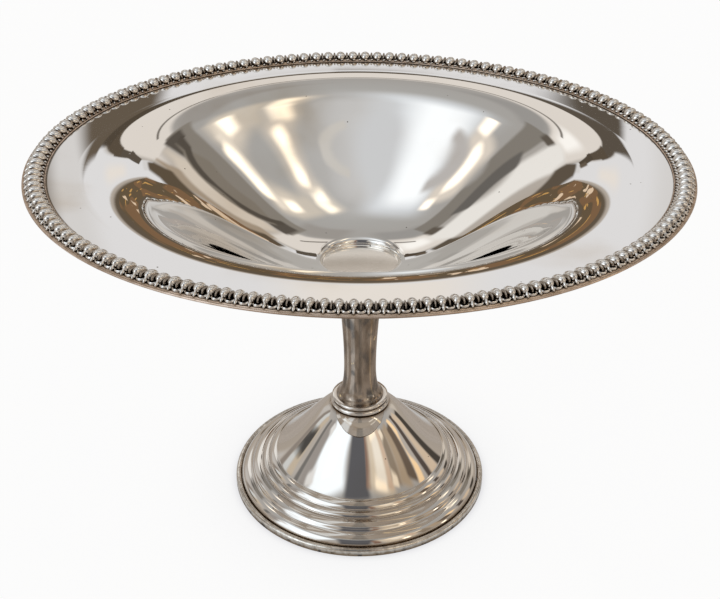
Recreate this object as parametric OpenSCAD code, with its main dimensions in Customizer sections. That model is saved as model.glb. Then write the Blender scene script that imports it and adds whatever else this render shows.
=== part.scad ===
// Footed compote bowl: a shallow spun bowl with a flat flange and a cast bead border,
// carried on a waisted hollow stem over a stepped bell foot.
// A rod through the stem draws the boss, the stem, the collar and the foot together.
// The origin is the centre of the base, and +Z points up along the axis.

/* [Rim and bowl] */
// Diameter over the outer lip of the border
rim_d = 254; // [220:1:300]
// Thickness of the spun bowl sheet
bowl_wall = 1.2; // [0.8:0.1:2]
// Depth from the flange at the border down to the floor of the centre medallion
bowl_depth = 48.8; // [40:0.2:60]
// Diameter of the flat floor of the centre medallion
medallion_d = 31.8; // [26:0.2:36]
// Height of the rounded step round the medallion
medallion_step = 3.2; // [2:0.1:5]
// Width of the rounded step round the medallion
medallion_roll = 3; // [2:0.1:4]
// Diameter at which the well turns over into the flange
well_d = 165; // [150:1:175]
// Fall of the dished flange from the border to where it turns down
flange_fall = 0.8; // [0.4:0.1:2]

/* [Border] */
// Number of beads round the rim
bead_count = 144; // [60:4:150]
// Width of the border from its inner edge to the lip
border_w = 8.4; // [7:0.1:10]
// Height of the bead crowns above the flange
bead_h = 3.9; // [2.5:0.1:5]
// Width of one bead
bead_w = 3.3; // [2:0.1:3.8]
// Thickness of the plain outer lip
lip_t = 0.8; // [0.5:0.1:1.5]
// Height of the thin raised edge inside the beads
edge_h = 0.6; // [0.3:0.1:1]
// Height of the sunk ground between the beads
ground_h = 1.1; // [0.7:0.1:1.6]
// Height of the narrow dart between two beads
dart_h = 2.1; // [1.2:0.1:2.4]

/* [Stem] */
// Height of the stem
stem_h = 64.3; // [50:0.5:90]
// Diameter of the stem at its foot
stem_foot_d = 20.6; // [18:0.2:24]
// Diameter of the stem at its waist
stem_waist_d = 14; // [13:0.2:16]
// Diameter of the stem where it meets the bowl
stem_top_d = 30; // [28:0.2:32]
// Thickness of the stem's wall
stem_wall = 1.3; // [0.8:0.1:1.6]

/* [Collar] */
// Diameter of the collar's lower bead
collar_d = 26; // [24:0.2:32]
// Height of the collar
collar_h = 4.5; // [3.5:0.1:6]

/* [Foot] */
// Diameter of the base
foot_d = 114.3; // [100:0.5:140]
// Height of the foot up to the collar's seat
foot_h = 39.2; // [34:0.2:48]
// Thickness of the foot's sheet
foot_wall = 1.2; // [0.8:0.1:1.6]
// Height of the wire round the base
wire_h = 3.2; // [2.4:0.1:4.5]
// Width of the wire round the base
wire_w = 2.6; // [2:0.1:4]

/* [Fixings] */
// Diameter of the tie rod
rod_d = 6; // [5:0.5:7]
// Diameter of the boss plate that is soldered under the bowl
boss_d = 20; // [16:0.5:21]
// Thickness of the boss plate
boss_t = 2; // [1.5:0.1:3]
// Diameter of the boss's threaded hub
hub_d = 11; // [10:0.5:12]
// Height of the boss's threaded hub
hub_h = 8; // [6:0.5:12]
// Diameter of the washer
washer_d = 18; // [14:0.5:20]
// Thickness of the washer
washer_t = 1.5; // [1:0.1:2.5]
// Width of the nut across its flats
nut_af = 10; // [9:0.5:13]
// Height of the nut
nut_h = 5; // [4:0.5:6]

/* [Hidden] */
$fn = 96;

// Radial clearance of the rod in the bores that it passes through
rod_fit = 0.1;
// Gap between the foot's sheet and the wire that is soldered round it
solder_gap = 0.05;
// Radial gap that keeps the collar's spigot inside the bore of the stem's waist
spigot_gap = 0.3;
// Length by which every cut overruns the face that it opens
overrun = 1;
// Segments in each long curve, and in each short one
curve_steps = 14;
short_steps = 8;
// Length of rod that stands below the nut
rod_tail = 3;
// Metal that the hub's blind bore leaves over the rod's end
hub_roof = 1.5;
// Height of the collar's spigot inside the stem
spigot_h = 2;

collar_z = foot_h;
stem_z = collar_z + collar_h;
bowl_base_z = stem_z + stem_h;
floor_z = bowl_base_z + bowl_wall;
flange_z = floor_z + bowl_depth;
rim_r = rim_d / 2;
border_r = rim_r - border_w;
medallion_r = medallion_d / 2;
well_floor_r = medallion_r + medallion_roll;
well_floor_z = floor_z + medallion_step;
foot_r = foot_d / 2;
skirt_r = foot_r - wire_w - solder_gap;
collar_r = collar_d / 2;
rod_r = rod_d / 2;
bore_r = rod_r + rod_fit;
boss_z = bowl_base_z - boss_t;
hub_z = boss_z - hub_h;
rod_top_z = bowl_base_z - hub_roof;
washer_z = foot_h - foot_wall - washer_t;
nut_z = washer_z - nut_h;
rod_z = nut_z - rod_tail;

// Point at share t of the cubic curve with the ends a and d and the pulls b and c
function cubic(a, b, c, d, t) =
    pow(1 - t, 3) * a + 3 * pow(1 - t, 2) * t * b + 3 * (1 - t) * t * t * c + pow(t, 3) * d;

// The cubic curve as points, without its first one
function curve(a, b, c, d, n = curve_steps) = [for (i = [1 : n]) cubic(a, b, c, d, i / n)];

// A point inside the box between two corners, at a share of its run and of its rise
function between(a, d, shares) = [a[0] + (d[0] - a[0]) * shares[0], a[1] + (d[1] - a[1]) * shares[1]];

// A run from a to b that bulges to its left by the given share of its length
function bulged(a, b, share, n = short_steps) =
    let (way = b - a, side = [-way[1], way[0]])
    [for (i = [1 : n]) a + way * i / n + side * share * 4 * (i / n) * (1 - i / n)];

// The outline moved one wall to its right, which is the other face of a sheet
function sheet_back(face, wall) =
    let (last = len(face) - 1)
    [for (i = [0 : last])
        let (way = face[min(i + 1, last)] - face[max(i - 1, 0)])
        face[i] + wall * [way[1], -way[0]] / norm(way)];

function backwards(points) = [for (i = [len(points) - 1 : -1 : 0]) points[i]];

// Shares of the well's run and rise that pull its curve
well_pull_shares = [[0.38, 0.1], [0.7, 0.68]];
// How far below the flange the well ends, as a share of its height
roll_drop_share = 0.2;
// How far along the flange the roll ends, as a share of the flange's run
roll_run_share = 0.7;
// Shares of the roll's run and rise that pull its curve
roll_pull_shares = [[0.24, 0.5], [0.56, 0.94]];
// Shares of the medallion's roll that pull its curve
step_pull_shares = [[0, 0.7], [0.4, 0.92]];
// How far the bowl's sheet reaches under the border, as a share of the border's width
bowl_edge_share = 0.65;

// The upper face of the bowl, from its axis out to its edge under the border
function bowl_face() =
    let (
        floor_end = [medallion_r, floor_z],
        well_start = [well_floor_r, well_floor_z],
        well_end = [well_d / 2, flange_z - roll_drop_share * (flange_z - well_floor_z)],
        roll_end = [well_end[0] + roll_run_share * (border_r - well_end[0]), flange_z - flange_fall]
    )
    concat(
        [[0, floor_z], floor_end],
        curve(floor_end, between(floor_end, well_start, step_pull_shares[0]),
              between(floor_end, well_start, step_pull_shares[1]), well_start, short_steps),
        curve(well_start, between(well_start, well_end, well_pull_shares[0]),
              between(well_start, well_end, well_pull_shares[1]), well_end),
        curve(well_end, between(well_end, roll_end, roll_pull_shares[0]),
              between(well_end, roll_end, roll_pull_shares[1]), roll_end),
        [[border_r, flange_z], [border_r + border_w * bowl_edge_share, flange_z]]
    );

// The spun bowl: one sheet from the medallion to the flange under the border
module bowl() {
    face = bowl_face();
    color("gainsboro")
    rotate_extrude()
    polygon(concat(face, backwards(sheet_back(face, bowl_wall))));
}

// Radial places on the border, as shares of its width
slope_share = 0.16;
crown_share = 0.4;
shoulder_share = 0.78;
// Heights of a bead and of a dart over the inner slope and the shoulder, as shares of their own
bead_slope_share = 0.55;
bead_shoulder_share = 0.8;
dart_slope_share = 0.9;
dart_shoulder_share = 0.6;
// Height of a bead halfway down its flank, as a share of its crown
bead_flank_share = 0.72;
// Place of that flank, as a share of half the bead's width
flank_share = 0.62;

// One closed section of the border, with a bead and a dart that stand at shares of their height
function border_section(bead, dart) =
    [
        [border_r, 0],
        [border_r, edge_h],
        [border_r + border_w * slope_share,
         max(edge_h, ground_h, bead * bead_h * bead_slope_share, dart * dart_h * dart_slope_share)],
        [border_r + border_w * crown_share, max(ground_h, bead * bead_h, dart * dart_h)],
        [border_r + border_w * shoulder_share,
         max(ground_h, bead * bead_h * bead_shoulder_share, dart * dart_h * dart_shoulder_share)],
        [rim_r, lip_t],
        [rim_r, 0]
    ];

// The applied border: one cast strip of beads with a narrow dart between each two
module rim_border() {
    pitch = 360 / bead_count;
    pitch_w = 2 * PI * (border_r + border_w * crown_share) / bead_count;
    half = bead_w / pitch_w / 2;
    // Place in the pitch, then how much of the bead and of the dart stands there
    stations = [
        [0, 1, 0],
        [half * flank_share, bead_flank_share, 0],
        [half, 0, 0],
        [0.5, 0, 1],
        [1 - half, 0, 0],
        [1 - half * flank_share, bead_flank_share, 0]
    ];
    per = len(stations);
    sides = len(border_section(0, 0));
    count = bead_count * per;
    points = [
        for (i = [0 : bead_count - 1], s = stations)
        let (turn = (i + s[0]) * pitch)
        for (p = border_section(s[1], s[2])) [p[0] * cos(turn), p[0] * sin(turn), flange_z + p[1]]
    ];
    faces = [
        for (i = [0 : count - 1], j = [0 : sides - 1])
        let (
            here = i * sides,
            next = (i + 1) % count * sides,
            up = (j + 1) % sides
        )
        for (face = [[here + j, here + up, next + up], [here + j, next + up, next + j]]) face
    ];
    color("silver") polyhedron(points = points, faces = faces, convexity = 10);
}

// The boss under the bowl: a soldered plate with a hub that takes the rod's upper end
module bowl_boss() {
    color("tan")
    difference() {
        union() {
            translate([0, 0, boss_z]) cylinder(h = boss_t, d = boss_d);
            translate([0, 0, hub_z]) cylinder(h = hub_h + boss_t / 2, d = hub_d);
        }
        translate([0, 0, hub_z - overrun]) cylinder(h = rod_top_z - hub_z + overrun, r = bore_r);
    }
}

// Heights of the waist and of the neck under the flare, as shares of the stem's height
waist_share = 0.24;
neck_share = 0.62;
// Diameter of the neck under the flare, as a share of the way from the waist to the top
neck_d_share = 0.14;
// Shares of each stretch of the stem that pull its curve
stem_foot_pull_shares = [[0.6, 0.08], [1, 0.35]];
stem_neck_pull_shares = [[0, 0.4], [0.55, 0.72]];
stem_flare_pull_shares = [[0.12, 0.5], [0.42, 0.88]];
// Height of the square edge at the stem's foot, as a share of its wall
stem_edge_share = 0.6;

// The outside of the stem from the edge of its foot up to the bowl
function stem_face() =
    let (
        foot_edge = [stem_foot_d / 2, stem_z + stem_wall * stem_edge_share],
        waist = [stem_waist_d / 2, stem_z + stem_h * waist_share],
        neck = [(stem_waist_d + (stem_top_d - stem_waist_d) * neck_d_share) / 2,
                stem_z + stem_h * neck_share],
        top = [stem_top_d / 2, bowl_base_z]
    )
    concat(
        [foot_edge],
        curve(foot_edge, between(foot_edge, waist, stem_foot_pull_shares[0]),
              between(foot_edge, waist, stem_foot_pull_shares[1]), waist, short_steps),
        curve(waist, between(waist, neck, stem_neck_pull_shares[0]),
              between(waist, neck, stem_neck_pull_shares[1]), neck, short_steps),
        curve(neck, between(neck, top, stem_flare_pull_shares[0]),
              between(neck, top, stem_flare_pull_shares[1]), top, short_steps)
    );

// The hollow stem: a waisted tube, flared at both ends and cut square where it seats
module stem() {
    face = stem_face();
    color("darkgray")
    intersection() {
        rotate_extrude()
        polygon(concat(
            [[stem_foot_d / 2, stem_z - overrun]],
            face,
            sheet_back(backwards(face), stem_wall)
        ));
        translate([0, 0, stem_z]) cylinder(h = stem_h, d = stem_top_d);
    }
}

// Radii of the collar's two beads, as shares of its height
lower_bead_share = 0.28;
upper_bead_share = 0.17;
// Radius of the groove between them and of the upper bead's edge, as shares of the collar's
groove_share = 0.91;
upper_edge_share = 0.96;

// The turned collar between the stem and the foot, with a spigot up inside the stem
module collar() {
    lower = collar_h * lower_bead_share;
    upper = collar_h * upper_bead_share;
    spigot_r = stem_waist_d / 2 - stem_wall - spigot_gap;
    color("silver")
    translate([0, 0, collar_z])
    rotate_extrude()
    union() {
        translate([bore_r, 0]) square([collar_r * groove_share - bore_r, collar_h]);
        translate([collar_r - lower, lower]) circle(r = lower);
        translate([collar_r * upper_edge_share - upper, collar_h - upper]) circle(r = upper);
        translate([bore_r, 0]) square([collar_r - lower - bore_r, lower]);
        translate([bore_r, 0]) square([spigot_r - bore_r, collar_h + spigot_h]);
    }
}

// Where the bell of the foot ends, as shares of the base radius and of the foot's height
bell_end_shares = [0.665, 0.357];
// Shares of the bell's run and fall that pull its curve
bell_pull_shares = [[0.24, 0.127], [0.6, 0.663]];
// The steps under the bell: radius, height, and the bulge of the run that leads there, as shares
step_shares = [
    [0.724, 0.304, 0],
    [0.731, 0.286, 0],
    [0.777, 0.255, 0.12],
    [0.782, 0.237, 0],
    [0.854, 0.199, 0.1],
    [0.887, 0.158, -0.12]
];
// Bulge of the outer ring down to the wire, as a share of its run
outer_ring_share = 0.12;
// How far the skirt stops above the table, as a share of the wire's height
skirt_end_share = 0.25;

// The outside of the foot from the rod's hole out to the skirt inside the wire
function foot_face() =
    let (
        seat = [collar_r, foot_h],
        bell_end = [foot_r * bell_end_shares[0], foot_h * bell_end_shares[1]],
        steps = [for (s = step_shares) [foot_r * s[0], foot_h * s[1]]],
        ring_end = [skirt_r, wire_h]
    )
    concat(
        [[bore_r, foot_h], seat],
        curve(seat, between(seat, bell_end, bell_pull_shares[0]),
              between(seat, bell_end, bell_pull_shares[1]), bell_end),
        [for (i = [0 : len(steps) - 1])
            for (p = bulged(i == 0 ? bell_end : steps[i - 1], steps[i], step_shares[i][2],
                            step_shares[i][2] == 0 ? 1 : short_steps)) p],
        bulged(steps[len(steps) - 1], ring_end, outer_ring_share),
        [[skirt_r, wire_h * skirt_end_share]]
    );

// The stepped bell foot, one stamped sheet with a hole at its top for the rod
module foot() {
    face = foot_face();
    color("gainsboro")
    rotate_extrude()
    polygon(concat(face, backwards(sheet_back(face, foot_wall))));
}

// The half-round wire soldered round the skirt, on which the bowl stands
module foot_rim() {
    half = wire_w / 2;
    color("darkgray")
    rotate_extrude($fn = 180)
    translate([foot_r - wire_w, 0])
    union() {
        square([wire_w, wire_h - half]);
        translate([half, wire_h - half]) circle(r = half, $fn = 48);
    }
}

// The rod that ties the bowl's boss to the foot
module tie_rod() {
    color("goldenrod") translate([0, 0, rod_z]) cylinder(h = rod_top_z - rod_z, r = rod_r);
}

// The washer under the foot's top
module washer() {
    color("goldenrod")
    translate([0, 0, washer_z])
    difference() {
        cylinder(h = washer_t, d = washer_d);
        translate([0, 0, -overrun]) cylinder(h = washer_t + 2 * overrun, r = bore_r);
    }
}

// The nut that draws the whole stack together
module nut() {
    color("goldenrod")
    translate([0, 0, nut_z])
    difference() {
        cylinder(h = nut_h, d = nut_af / cos(30), $fn = 6);
        translate([0, 0, -overrun]) cylinder(h = nut_h + 2 * overrun, r = bore_r);
    }
}

bowl();
rim_border();
bowl_boss();
stem();
collar();
foot();
foot_rim();
tie_rod();
washer();
nut();
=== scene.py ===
import math
import bpy
from mathutils import Matrix, Vector


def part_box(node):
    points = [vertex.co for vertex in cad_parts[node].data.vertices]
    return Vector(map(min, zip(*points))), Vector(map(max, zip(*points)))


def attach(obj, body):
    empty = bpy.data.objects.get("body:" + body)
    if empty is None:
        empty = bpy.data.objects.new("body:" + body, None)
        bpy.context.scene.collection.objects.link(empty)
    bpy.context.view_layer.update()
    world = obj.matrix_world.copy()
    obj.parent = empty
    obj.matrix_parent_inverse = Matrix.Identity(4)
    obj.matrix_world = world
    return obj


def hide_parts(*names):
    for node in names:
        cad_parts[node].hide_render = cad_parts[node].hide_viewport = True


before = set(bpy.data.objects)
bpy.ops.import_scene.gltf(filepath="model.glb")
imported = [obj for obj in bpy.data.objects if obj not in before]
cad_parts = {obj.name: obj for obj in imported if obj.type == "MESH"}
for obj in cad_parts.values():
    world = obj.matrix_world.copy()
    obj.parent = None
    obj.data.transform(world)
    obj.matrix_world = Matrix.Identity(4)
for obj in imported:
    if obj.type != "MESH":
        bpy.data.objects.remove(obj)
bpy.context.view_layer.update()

mm = 0.001
print("frame loaded")

# Camera, fitted to the rim, the flange line and the rings of the foot
camera = {
    "place": (0.00565, -0.37424, 0.30635),
    "pitch": math.radians(29.85),
    "roll": 0.012,
    "focalPixels": 1018.7,
    "frameWidth": 720,
    "centreShiftPixels": 13.7,
    "sensorWidth": 36.0,
    "clipStart": 0.01,
}


def makeCamera():
    bpy.ops.object.select_all(action="DESELECT")
    bpy.ops.object.camera_add(location=camera["place"])
    view = bpy.context.object
    view.name = "photoCamera"
    tipped = Matrix.Rotation(math.pi / 2 - camera["pitch"], 3, "X")
    turn = tipped @ Matrix.Rotation(camera["roll"], 3, "Z")
    view.rotation_euler = turn.to_euler()
    view.data.sensor_width = camera["sensorWidth"]
    view.data.lens = camera["focalPixels"] * camera["sensorWidth"] / camera["frameWidth"]
    view.data.shift_x = -camera["centreShiftPixels"] / camera["frameWidth"]
    view.data.clip_start = camera["clipStart"]
    bpy.context.scene.camera = view


makeCamera()
print("camera placed")

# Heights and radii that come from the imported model
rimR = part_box("rim_border")[1][0]
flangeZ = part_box("rim_border")[0][2]
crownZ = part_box("rim_border")[1][2]
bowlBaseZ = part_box("bowl")[0][2]
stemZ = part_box("stem")[0][2]
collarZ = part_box("foot")[1][2]
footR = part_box("foot_rim")[1][0]
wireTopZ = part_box("foot_rim")[1][2]


# Profile spans, each a cubic of four (radius, height) points. A corner is what turns by more
# than its angle, and it is cut back and pulled to a small round edge
profile = {
    "cornerAngle": math.radians(8),
    "mostCut": 0.4,
    "cornerPull": 0.6,
    "weld": 1e-6,
    "smoothAngle": math.radians(50),
}


def pairSum(a, b, share=1.0):
    return (a[0] + b[0] * share, a[1] + b[1] * share)


def pairWay(a, b):
    return (b[0] - a[0], b[1] - a[1])


def insideBox(a, b, shares):
    return (a[0] + (b[0] - a[0]) * shares[0], a[1] + (b[1] - a[1]) * shares[1])


def straightSpan(a, b):
    way = pairWay(a, b)
    return [a, pairSum(a, way, 1 / 3), pairSum(a, way, 2 / 3), b]


def pulledSpan(a, b, pulls):
    return [a, insideBox(a, b, pulls[0]), insideBox(a, b, pulls[1]), b]


def bulgedSpan(a, b, share):  # bulges to its left by a share of its length
    way = pairWay(a, b)
    side = (-way[1] * share * 4 / 3, way[0] * share * 4 / 3)
    return [a, pairSum(pairSum(a, way, 1 / 3), side), pairSum(pairSum(a, way, 2 / 3), side), b]


def straightSpans(points):
    return [straightSpan(a, b) for a, b in zip(points, points[1:])]


def spanPart(span, start, end):  # the stretch of a span between two shares of it
    def cut(points, t):
        rows = [points]
        while len(rows[-1]) > 1:
            last = rows[-1]
            rows.append([insideBox(a, b, (t, t)) for a, b in zip(last, last[1:])])
        return [row[0] for row in rows], [row[-1] for row in reversed(rows)]
    right = cut(span, start)[1] if start > 0 else span
    return cut(right, (end - start) / (1 - start))[0] if end < 1 else right


def spanLength(span):
    return sum(math.dist(a, b) for a, b in zip(span, span[1:]))


def spansAway(span, distance):  # the span moved to its right, as the back of a sheet
    moved = []
    for index in range(4):
        a, b = span[max(index - 1, 0)], span[min(index + 1, 3)]
        way = pairWay(a, b)
        length = math.hypot(*way) or 1.0
        right = (way[1] / length, -way[0] / length)
        moved.append(pairSum(span[index], right, distance))
    return moved


def backOfSheet(spans, distance):
    backs = [spansAway(span, distance) for span in spans]
    for first, second in zip(backs, backs[1:]):
        meet = insideBox(first[3], second[0], (0.5, 0.5))
        first[3] = meet
        second[0] = meet
    return [list(reversed(span)) for span in reversed(backs)]


def softened(spans, reach):  # small round edges where two spans meet at an angle
    trims = [[0.0, 1.0] for _ in spans]
    bends = {}
    for index in range(len(spans) - 1):
        first, second = spans[index], spans[index + 1]
        wayIn = Vector(pairWay(first[2], first[3]))
        wayOut = Vector(pairWay(second[0], second[1]))
        if wayIn.length and wayOut.length and wayIn.angle(wayOut) > profile["cornerAngle"]:
            trims[index][1] = 1 - min(profile["mostCut"], reach / spanLength(first))
            trims[index + 1][0] = min(profile["mostCut"], reach / spanLength(second))
            bends[index] = first[3]
    cut = [spanPart(span, *trim) for span, trim in zip(spans, trims)]
    pull = (profile["cornerPull"],) * 2
    full = []
    for index, span in enumerate(cut):
        full.append(span)
        if index in bends:
            a, b, corner = span[3], cut[index + 1][0], bends[index]
            full.append([a, insideBox(a, corner, pull), insideBox(b, corner, pull), b])
    return full


def clearSelection():
    if bpy.context.object and bpy.context.object.mode != "OBJECT":
        bpy.ops.object.mode_set(mode="OBJECT")
    bpy.ops.object.select_all(action="DESELECT")


def spunPiece(name, spans, turns, segments):  # a closed profile spun round the axis
    clearSelection()
    bpy.ops.curve.primitive_bezier_curve_add(location=(0, 0, 0))
    outline = bpy.context.object
    outline.name = outline.data.name = name
    outline.data.resolution_u = segments
    spline = outline.data.splines[0]
    spline.bezier_points.add(len(spans) - 1)
    for index, knot in enumerate(spline.bezier_points):
        before = spans[index - 1] if index else None
        after = spans[index] if index < len(spans) else None
        place = after[0] if after else before[3]
        knot.handle_left_type = knot.handle_right_type = "FREE"
        knot.co = (place[0], 0, place[1])
        pullIn = before[2] if before else place
        pullOut = after[1] if after else place
        knot.handle_left = (pullIn[0], 0, pullIn[1])
        knot.handle_right = (pullOut[0], 0, pullOut[1])
    bpy.ops.object.convert(target="MESH")
    bpy.ops.object.mode_set(mode="EDIT")
    bpy.ops.mesh.select_all(action="SELECT")
    bpy.ops.mesh.remove_doubles(threshold=profile["weld"])
    bpy.ops.mesh.spin(steps=turns, angle=2 * math.pi, center=(0, 0, 0), axis=(0, 0, 1))
    bpy.ops.mesh.select_all(action="SELECT")
    bpy.ops.mesh.remove_doubles(threshold=profile["weld"])
    bpy.ops.mesh.normals_make_consistent(inside=False)
    bpy.ops.object.mode_set(mode="OBJECT")
    bpy.ops.object.shade_smooth_by_angle(angle=profile["smoothAngle"])
    return bpy.context.object


# Bowl sheet. A pair of pulls bends a run between its two ends
bowlShape = {
    "wall": 1.2 * mm,
    "medallionR": 15.9 * mm,
    "stepRise": 3.2 * mm,
    "stepRun": 3.0 * mm,
    "wellR": 82.5 * mm,
    "flangeFall": 0.8 * mm,
    "borderWidth": 8.4 * mm,
    "wellDropShare": 0.2,
    "rollRunShare": 0.7,
    "stepPulls": ((0.0, 0.7), (0.4, 0.92)),
    "wellPulls": ((0.38, 0.1), (0.7, 0.68)),
    "rollPulls": ((0.24, 0.5), (0.56, 0.94)),
    "edgeShare": 0.65,
    "edgeReach": 0.5 * mm,
    "turns": 256,
    "segments": 18,
}
borderR = rimR - bowlShape["borderWidth"]


def bowlFace():
    shape = bowlShape
    floorZ = bowlBaseZ + shape["wall"]
    floorEnd = (shape["medallionR"], floorZ)
    wellStart = (shape["medallionR"] + shape["stepRun"], floorZ + shape["stepRise"])
    wellEnd = (shape["wellR"], flangeZ - shape["wellDropShare"] * (flangeZ - wellStart[1]))
    rollEnd = (wellEnd[0] + shape["rollRunShare"] * (borderR - wellEnd[0]),
               flangeZ - shape["flangeFall"])
    borderStart = (borderR, flangeZ)
    edge = (borderR + shape["borderWidth"] * shape["edgeShare"], flangeZ)
    return [
        straightSpan((0, floorZ), floorEnd),
        pulledSpan(floorEnd, wellStart, shape["stepPulls"]),
        pulledSpan(wellStart, wellEnd, shape["wellPulls"]),
        pulledSpan(wellEnd, rollEnd, shape["rollPulls"]),
        straightSpan(rollEnd, borderStart),
        straightSpan(borderStart, edge),
    ]


def makeBowl():
    face = bowlFace()
    back = backOfSheet(face, bowlShape["wall"])
    back[-1][3] = (0, bowlBaseZ)
    rim = straightSpan(face[-1][3], back[0][0])
    loop = softened(face, bowlShape["edgeReach"]) + [rim] + back
    piece = spunPiece("bowlSheet", loop, bowlShape["turns"], bowlShape["segments"])
    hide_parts("bowl")
    return piece


bowlSheet = makeBowl()
print("bowl spun")

# Cast border: a strip, and what repeats round it. A run is from the border's inner edge, a rise
# from the flange, and along is a share of the pitch
borderShape = {
    "count": 144,
    "pitchRun": 3.4 * mm,
    "crowding": (0.195, 0.08),
    "rounds": 12,
    "smoothAngle": math.radians(70),
}
beadPitch = 2 * math.pi * (borderR + borderShape["pitchRun"]) / borderShape["count"]

stripShape = {
    "edge": ((0, 0.36 * mm), (0.35 * mm, 0.6 * mm), (0.735 * mm, 0.42 * mm)),
    "ground": ((1.68 * mm, 1.0 * mm), (5.208 * mm, 1.15 * mm)),
    "lip": ((7.392 * mm, 1.0 * mm), (7.812 * mm, 0.76 * mm)),
    "rimRise": 0.64 * mm,
    "edgeReach": 0.22 * mm,
    "turns": 288,
    "segments": 3,
}


def makeStrip():
    shape = stripShape
    points = [(borderR, flangeZ)]
    for run, rise in shape["edge"] + shape["ground"] + shape["lip"]:
        points.append((borderR + run, flangeZ + rise))
    points += [(rimR, flangeZ + shape["rimRise"]), (rimR, flangeZ), (borderR, flangeZ)]
    loop = softened(straightSpans(points), shape["edgeReach"])
    piece = spunPiece("borderStrip", loop, shape["turns"], shape["segments"])
    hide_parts("rim_border")
    return piece


def roundLump(name, shape, z):  # a long round lump that lies outward, tilted and swung
    clearSelection()
    segments, rings = shape["steps"]
    bpy.ops.mesh.primitive_uv_sphere_add(segments=segments, ring_count=rings, radius=1,
                                         location=(0, 0, 0))
    lump = bpy.context.object
    lump.name = name
    bpy.ops.object.mode_set(mode="EDIT")
    bpy.ops.mesh.select_all(action="SELECT")
    bpy.ops.transform.rotate(value=math.pi / 2, orient_axis="Y", center_override=(0, 0, 0))
    bpy.ops.transform.resize(value=shape["half"], center_override=(0, 0, 0))
    for axis, angle in (("Y", shape.get("tilt")), ("Z", shape.get("swing"))):
        if angle:
            bpy.ops.transform.rotate(value=angle, orient_axis=axis, center_override=(0, 0, 0))
    bpy.ops.transform.translate(value=(borderR + shape["run"], shape["along"] * beadPitch, z))
    bpy.ops.object.mode_set(mode="OBJECT")
    return lump


def joinedParts(parts):
    clearSelection()
    for part in parts:
        part.select_set(True)
    bpy.context.view_layer.objects.active = parts[0]
    bpy.ops.object.join()
    bpy.ops.object.shade_smooth_by_angle(angle=borderShape["smoothAngle"])
    return bpy.context.object


beadShape = {
    "run": 3.8 * mm,
    "along": 0,
    "half": (2.75 * mm, 1.98 * mm, 1.6 * mm),
    "tilt": 0.28,
    "steps": (12, 8),
}


def makeBeadUnit():  # a long bead that sinks towards its inner end, its top at the crown
    half, tilt = beadShape["half"], beadShape["tilt"]
    rise = math.hypot(half[0] * math.sin(tilt), half[2] * math.cos(tilt))
    return joinedParts([roundLump("bead", beadShape, crownZ - rise)])


dartShape = {
    "run": 4.3 * mm,
    "along": 0.5,
    "rise": 1.85 * mm,
    "half": (2.3 * mm, 0.56 * mm, 1.6 * mm),
    "tilt": 0.35,
    "steps": (8, 6),
}


def makeDartUnit():  # the narrow ridge between two beads
    return joinedParts([roundLump("dart", dartShape, flangeZ + dartShape["rise"])])


trimShape = {
    "leg": {
        "run": 6.5 * mm,
        "along": 0,
        "rise": 1.75 * mm,
        "half": (1.45 * mm, 0.66 * mm, 0.7 * mm),
        "tilt": -0.6,
        "steps": (8, 5),
    },
    "swag": {
        "run": 5.75 * mm,
        "along": 0.5,
        "rise": 1.25 * mm,
        "radius": 1.45 * mm,
        "thickness": 0.54 * mm,
        "stretch": (0.85, 1.2, 1),
        "steps": (14, 5),
    },
    "beadHook": {
        "run": 1.35 * mm,
        "along": -0.1,
        "rise": 0.95 * mm,
        "half": (0.95 * mm, 0.36 * mm, 0.5 * mm),
        "swing": 0.75,
        "steps": (6, 4),
    },
    "dartHook": {
        "run": 1.35 * mm,
        "along": 0.4,
        "rise": 0.9 * mm,
        "half": (0.95 * mm, 0.4 * mm, 0.5 * mm),
        "swing": 0.75,
        "steps": (6, 4),
    },
}


def makeSwag():  # half a ring that hangs outward between two legs
    shape = trimShape["swag"]
    clearSelection()
    segments, rings = shape["steps"]
    bpy.ops.mesh.primitive_torus_add(major_segments=segments, minor_segments=rings,
                                     major_radius=shape["radius"],
                                     minor_radius=shape["thickness"], location=(0, 0, 0))
    swag = bpy.context.object
    bpy.ops.object.mode_set(mode="EDIT")
    bpy.ops.mesh.select_all(action="SELECT")
    bpy.ops.mesh.bisect(plane_co=(0, 0, 0), plane_no=(1, 0, 0), use_fill=True, clear_inner=True)
    bpy.ops.mesh.select_all(action="SELECT")
    bpy.ops.transform.resize(value=shape["stretch"], center_override=(0, 0, 0))
    bpy.ops.transform.translate(value=(borderR + shape["run"], shape["along"] * beadPitch,
                                       flangeZ + shape["rise"]))
    bpy.ops.object.mode_set(mode="OBJECT")
    return swag


def makeTrimUnit():  # the leg under a bead, the swag beside it and two inner hooks
    leg, beadHook, dartHook = [
        roundLump(name, trimShape[name], flangeZ + trimShape[name]["rise"])
        for name in ("leg", "beadHook", "dartHook")
    ]
    return joinedParts([leg, makeSwag(), beadHook, dartHook])


def beadTurns():  # the beads stand a little closer at the front than at the back
    first, second = borderShape["crowding"]
    count = borderShape["count"]
    turns = []
    angle = 0.0
    for index in range(count):
        for _ in range(borderShape["rounds"]):
            reached = angle + first * math.sin(angle) + second / 2 * math.sin(2 * angle)
            slope = 1 + first * math.cos(angle) + second * math.cos(2 * angle)
            angle += (2 * math.pi * index / count - reached) / slope
        slope = 1 + first * math.cos(angle) + second * math.cos(2 * angle)
        turns.append((angle - math.pi / 2, 1 / slope))
    return turns


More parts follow.
